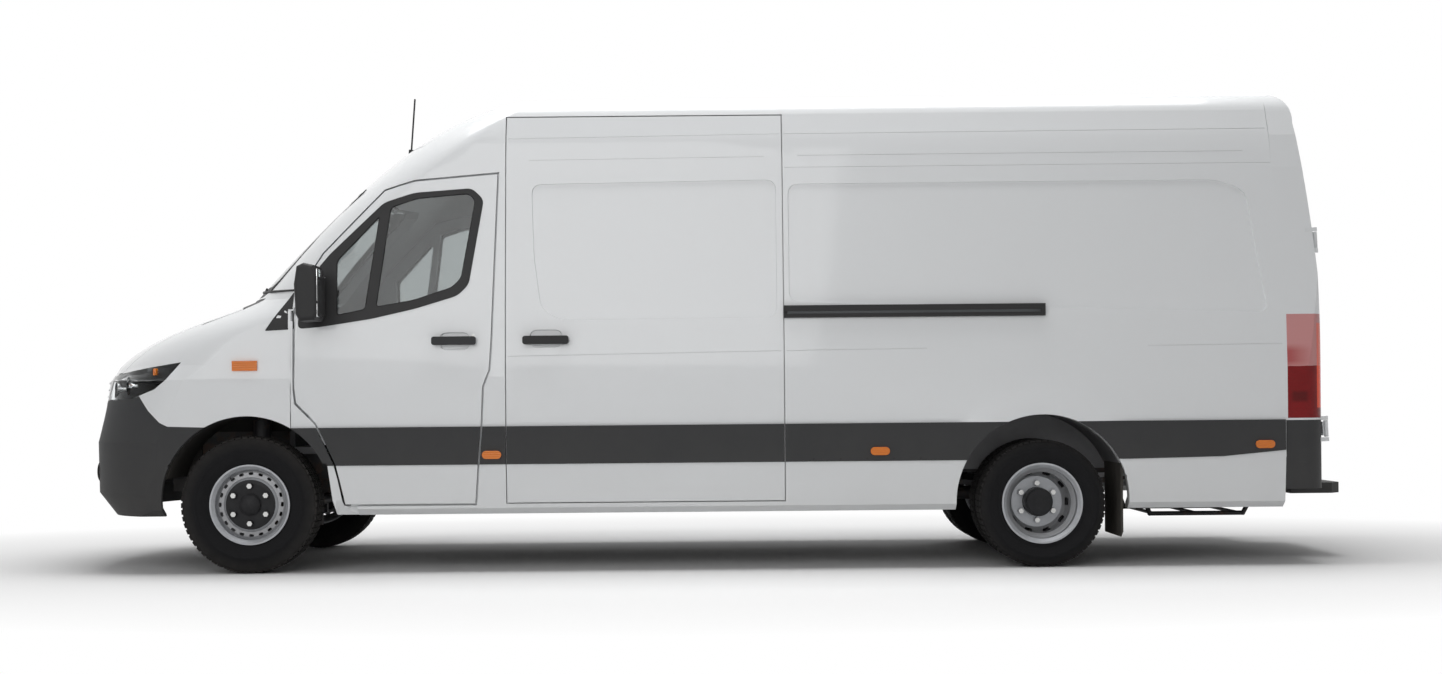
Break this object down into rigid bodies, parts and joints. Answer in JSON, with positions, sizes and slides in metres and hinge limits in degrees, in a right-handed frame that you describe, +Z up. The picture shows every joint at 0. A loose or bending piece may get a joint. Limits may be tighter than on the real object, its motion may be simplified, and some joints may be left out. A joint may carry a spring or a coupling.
{
  "type": "panel van",
  "caption": "Long high-roof panel van with a sliding side door, twin rear doors, twin rear wheels, steered front wheels and opening cab doors and bonnet.",
  "frame": {"origin": "on the ground under the middle of the whole van", "axes": "+X to the rear, +Y to the van's right, +Z up"},
  "size_m": [7.116, 2.49, 2.6903],
  "materials": {
    "body_paint": "gloss",
    "grey_plastic": "grained",
    "black_plastic": "satin",
    "glass": "clear",
    "wheel_silver": "satin",
    "tyre": "matte",
    "iron": "rough",
    "dark_steel": "satin",
    "lamp_clear": "clear",
    "lamp_red": "clear",
    "lamp_amber": "clear",
    "trim_plastic": "grained",
    "seat_fabric": "woven",
    "rubber": "matte"
  },
  "bodies": {
    "body": {"roof": "body_paint", "side_left": "body_paint", "side_right": "body_paint", "cab_frame": "body_paint", "rear_frame": "body_paint", "cowl": "black_plastic", "fender_left": "body_paint", "fender_right": "body_paint", "front_bumper": "grey_plastic", "grille": "grey_plastic", "headlamps": "lamp_clear", "windscreen": "glass", "sliding_door": "body_paint", "tail_lamps": "lamp_red", "rear_bumper": "grey_plastic", "rear_step": "grey_plastic", "front_axle": "dark_steel", "chassis_rails": "dark_steel", "cross_members": "dark_steel", "rear_axle": "iron", "leaf_springs": "dark_steel", "engine": "iron", "drive_shaft": "dark_steel", "exhaust": "dark_steel", "fuel_tank": "black_plastic", "floor": "dark_steel", "load_deck": "trim_plastic", "arch_liners": "black_plastic", "firewall": "dark_steel", "dashboard": "trim_plastic", "steering_wheel": "trim_plastic", "seats": "seat_fabric", "seat_bases": "trim_plastic", "side_cladding": "grey_plastic", "side_lamps": "lamp_amber", "slide_rail": "black_plastic", "mudflaps": "rubber", "spare_carrier": "dark_steel", "antenna": "black_plastic"},
    "bonnet": {"bonnet": "body_paint"},
    "door_left": {"door_left": "body_paint", "door_glass_left": "glass", "mirror_left": "black_plastic", "door_trim_left": "grey_plastic"},
    "door_right": {"door_right": "body_paint", "door_glass_right": "glass", "mirror_right": "black_plastic", "door_trim_right": "grey_plastic"},
    "rear_door_left": {"rear_door_left": "body_paint"},
    "rear_door_right": {"rear_door_right": "body_paint"},
    "knuckle_left": {"knuckle_left": "iron"},
    "knuckle_right": {"knuckle_right": "iron"},
    "front_wheel_left": {"front_wheel_left": "wheel_silver", "front_tyre_left": "tyre"},
    "front_wheel_right": {"front_wheel_right": "wheel_silver", "front_tyre_right": "tyre"},
    "rear_wheel_left": {"rear_wheel_left": "wheel_silver", "rear_tyres_left": "tyre"},
    "rear_wheel_right": {"rear_wheel_right": "wheel_silver", "rear_tyres_right": "tyre"}
  },
  "joints": [
    {"name": "bonnet_hinge", "type": "hinge", "parent": "body", "child": "bonnet", "pos_m": [-2.739, 0, 1.49], "axis": [0, 1, 0], "range_deg": [0, 60]},
    {"name": "door_left_hinge", "type": "hinge", "parent": "body", "child": "door_left", "pos_m": [-2.254, -0.985, 1], "axis": [0, 0, -1], "range_deg": [0, 70]},
    {"name": "door_right_hinge", "type": "hinge", "parent": "body", "child": "door_right", "pos_m": [-2.254, 0.985, 1], "axis": [0, 0, 1], "range_deg": [0, 70]},
    {"name": "rear_door_left_hinge", "type": "hinge", "parent": "body", "child": "rear_door_left", "pos_m": [3.336, -0.912, 0.74], "axis": [0.0495, 0, -0.9988], "range_deg": [0, 180]},
    {"name": "rear_door_right_hinge", "type": "hinge", "parent": "body", "child": "rear_door_right", "pos_m": [3.336, 0.912, 0.74], "axis": [-0.0495, 0, 0.9988], "range_deg": [0, 180]},
    {"name": "steer_left", "type": "hinge", "parent": "body", "child": "knuckle_left", "pos_m": [-2.554, -0.735, 0.375], "axis": [0, 0, 1], "range_deg": [-35, 35]},
    {"name": "steer_right", "type": "hinge", "parent": "body", "child": "knuckle_right", "pos_m": [-2.554, 0.735, 0.375], "axis": [0, 0, 1], "range_deg": [-35, 35]},
    {"name": "front_wheel_left_spin", "type": "hinge", "parent": "knuckle_left", "child": "front_wheel_left", "pos_m": [-2.554, -0.852, 0.375], "axis": [0, 1, 0], "continuous": true},
    {"name": "front_wheel_right_spin", "type": "hinge", "parent": "knuckle_right", "child": "front_wheel_right", "pos_m": [-2.554, 0.852, 0.375], "axis": [0, 1, 0], "continuous": true},
    {"name": "rear_wheel_left_spin", "type": "hinge", "parent": "body", "child": "rear_wheel_left", "pos_m": [1.771, -0.7675, 0.3475], "axis": [0, 1, 0], "continuous": true},
    {"name": "rear_wheel_right_spin", "type": "hinge", "parent": "body", "child": "rear_wheel_right", "pos_m": [1.771, 0.7675, 0.3475], "axis": [0, 1, 0], "continuous": true}
  ],
  "couplings": [
    {"joint": "steer_right", "follows": "steer_left", "ratio": 1}
  ]
}
